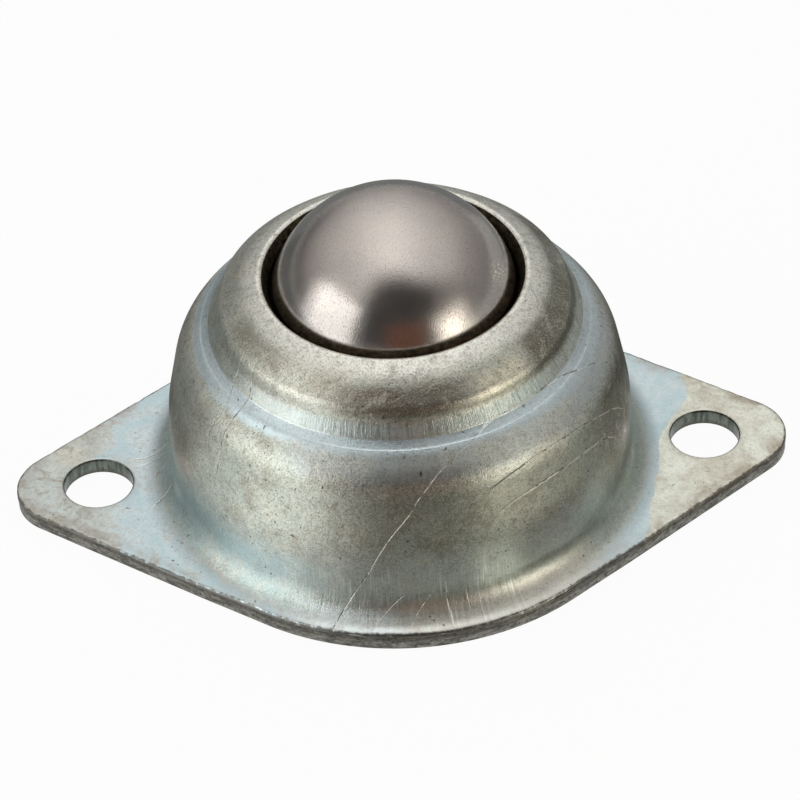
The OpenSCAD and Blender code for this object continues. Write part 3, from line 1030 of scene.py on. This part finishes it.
def ceiling():
    """A soft light overhead and behind that fades towards the horizon and ends above the front."""
    t = Tree(bpy.data.worlds.new("studio"))
    direction = t.node("ShaderNodeTexCoord").outputs["Generated"]
    x, y, z = t.node("ShaderNodeSeparateXYZ", {0: direction}).outputs
    border = t.plus(t.plus(t.times(y, BORDER_Y), t.times(z, BORDER_Z)),
                    t.plus(t.step(x, -0.6, -0.2, 0.45, 0.0), t.step(x, 0.1, 0.4, 0.0, 0.1)))
    low_left = t.times(t.step(x, -0.5, -0.2, 0.16, 0.0), t.step(z, 0.1, 0.35, 1.0, 0.0))
    height = t.math("SUBTRACT", t.math("MULTIPLY_ADD", z, 0.8, 0.28), low_left)
    dip = t.plus(t.step(x, 0.6, 0.85, 0.0, 0.25), t.step(x, -0.85, -0.6, 0.12, 0.0))
    sides = t.times(t.step(t.math("ABSOLUTE", x), 0.05, 0.6, 1.14, 0.8),
                    t.math("SUBTRACT", 1.0, t.times(dip, t.step(z, 0.45, 0.7, 1.0, 0.0))))
    above = t.times(height, sides, t.step(border, -0.18, 0.28, 0.0, 1.0))
    strength = t.most(above, t.step(x, 0.45, 0.8, 0.06, 0.27))
    t.feed(t.tree.nodes["Background"], {0: CEILING_COLOUR, 1: strength})
    return t.owner


bpy.context.scene.world = ceiling()

# ---- cards that the steel mirrors ----

CARD_COLUMNS, CARD_ROWS = 17, 9
FLOOR_CARD_STEP = 3
FLOOR_CARD_Z = 0.2
FLOOR_LEFT_FREE = 1.3


def reflected_card(name, bm, colour):
    """A glowing studio card: it only shows in reflections."""
    mesh_obj = link(name, poured(name, bm))
    t = Material(name)
    mesh_obj.data.materials.append(t.surface(t.node("ShaderNodeEmission", {0: colour + (1,)})))
    mesh_obj.visible_camera = mesh_obj.visible_diffuse = mesh_obj.visible_shadow = False
    mesh_obj.visible_transmission = mesh_obj.visible_volume_scatter = False


def curved_card(name, azimuths, elevations, distance, colour):
    """Part of a sphere round the part, as a card."""
    bm = bmesh.new()
    columns = [[bm.verts.new(CENTRE + towards(a, e) * distance) for e in np.linspace(*elevations, CARD_ROWS)]
               for a in np.linspace(*azimuths, CARD_COLUMNS)]
    for a, b in zip(columns, columns[1:]):
        for k in range(CARD_ROWS - 1):
            bm.faces.new((a[k], b[k], b[k + 1], a[k + 1]))
    reflected_card(name, bm, colour)


def floor_card(name, azimuths, radii, colour):
    """Part of a ring on the floor, as a card. At the front it leaves a strip of floor round the part."""
    bm = bmesh.new()
    pairs = []
    for a in np.linspace(*azimuths, 2 + round((azimuths[1] - azimuths[0]) / FLOOR_CARD_STEP)):
        out = towards(a, 0)
        inner = max(radii[0], reach(out.x, out.y)[0] + (FLOOR_LEFT_FREE if out.y < 0.01 else 0.0))
        pairs.append([bm.verts.new((out.x * r * MM, out.y * r * MM, FLOOR_CARD_Z * MM))
                      for r in (inner, radii[1])])
    for a, b in zip(pairs, pairs[1:]):
        bm.faces.new((a[0], a[1], b[1], b[0]))
    reflected_card(name, bm, colour)


curved_card("brown_flag", (-12, 25), (-4, 24), 0.45, (0.17, 0.085, 0.06))
for name, azimuths, radii, colour in (
        ("near_front", (-22, 18), (0, 30), (0.2, 0.2, 0.185)),
        ("front", (-22, 27), (30, 900), (0.13, 0.135, 0.12)),
        ("before_lamp", (27, 32), (30, 38), (0.15, 0.15, 0.13)),
        ("front_left", (-35, -22), (0, 900), (0.47, 0.48, 0.47)),
        ("near_left", (-66, -35), (0, 30), (0.8, 0.83, 0.84)),
        ("left", (-66, -35), (30, 900), (1.05, 1.07, 1.06)),
        ("far_left", (-90, -66), (0, 900), (0.62, 0.66, 0.67)),
        ("near_lamp", (18, 32), (0, 30), (0.58, 0.58, 0.5)),
        ("lamp", (27, 38), (38, 900), (0.7, 0.7, 0.59)),
        ("beside_lamp", (32, 45), (0, 38), (0.14, 0.14, 0.12)),
        ("right", (38, 72), (40, 220), (0.38, 0.38, 0.33)),
        ("far_lamp", (38, 72), (220, 900), (0.95, 0.93, 0.8)),
        ("near_right", (45, 90), (0, 40), (0.1, 0.105, 0.1)),
        ("back_right", (90, 150), (0, 80), (0.1, 0.105, 0.1)),
        ("far_right", (72, 150), (80, 900), (0.4, 0.41, 0.4)),
        ("beside_right", (72, 90), (40, 80), (0.1, 0.105, 0.1)),
        ("back", (150, 210), (36, 900), (0.2, 0.21, 0.21)),
        ("back_left", (210, 270), (0, 900), (0.13, 0.14, 0.14))):
    floor_card("table_" + name, azimuths, radii, colour)

# ---- floor: near-white paper to the camera and in reflections, plain lit paper to every other ray ----

FLOOR_HALF_M = 3
FLOOR_Z = -0.02
SEEN_WHITE = 0.95

mesh = bpy.data.meshes.new("floor")
corners = [(x * FLOOR_HALF_M, y * FLOOR_HALF_M, FLOOR_Z * MM) for x, y in ((-1, -1), (1, -1), (1, 1), (-1, 1))]
mesh.from_pydata(corners, [], [(0, 1, 2, 3)])
floor = link("floor", mesh)
t = Material("white_paper")
ray = t.node("ShaderNodeLightPath").outputs
seen = t.most(ray["Is Camera Ray"], ray["Is Glossy Ray"], ray["Is Transmission Ray"])
lit = t.node("ShaderNodeBsdfDiffuse", {0: (0.9, 0.9, 0.9, 1)}).outputs[0]
white = t.node("ShaderNodeEmission", {0: (1, 1, 1, 1)}).outputs[0]
both = t.node("ShaderNodeMixShader", {0: t.times(seen, SEEN_WHITE), 1: lit, 2: white})
floor.data.materials.append(t.surface(both))

bpy.context.scene.view_settings.view_transform = "Standard"
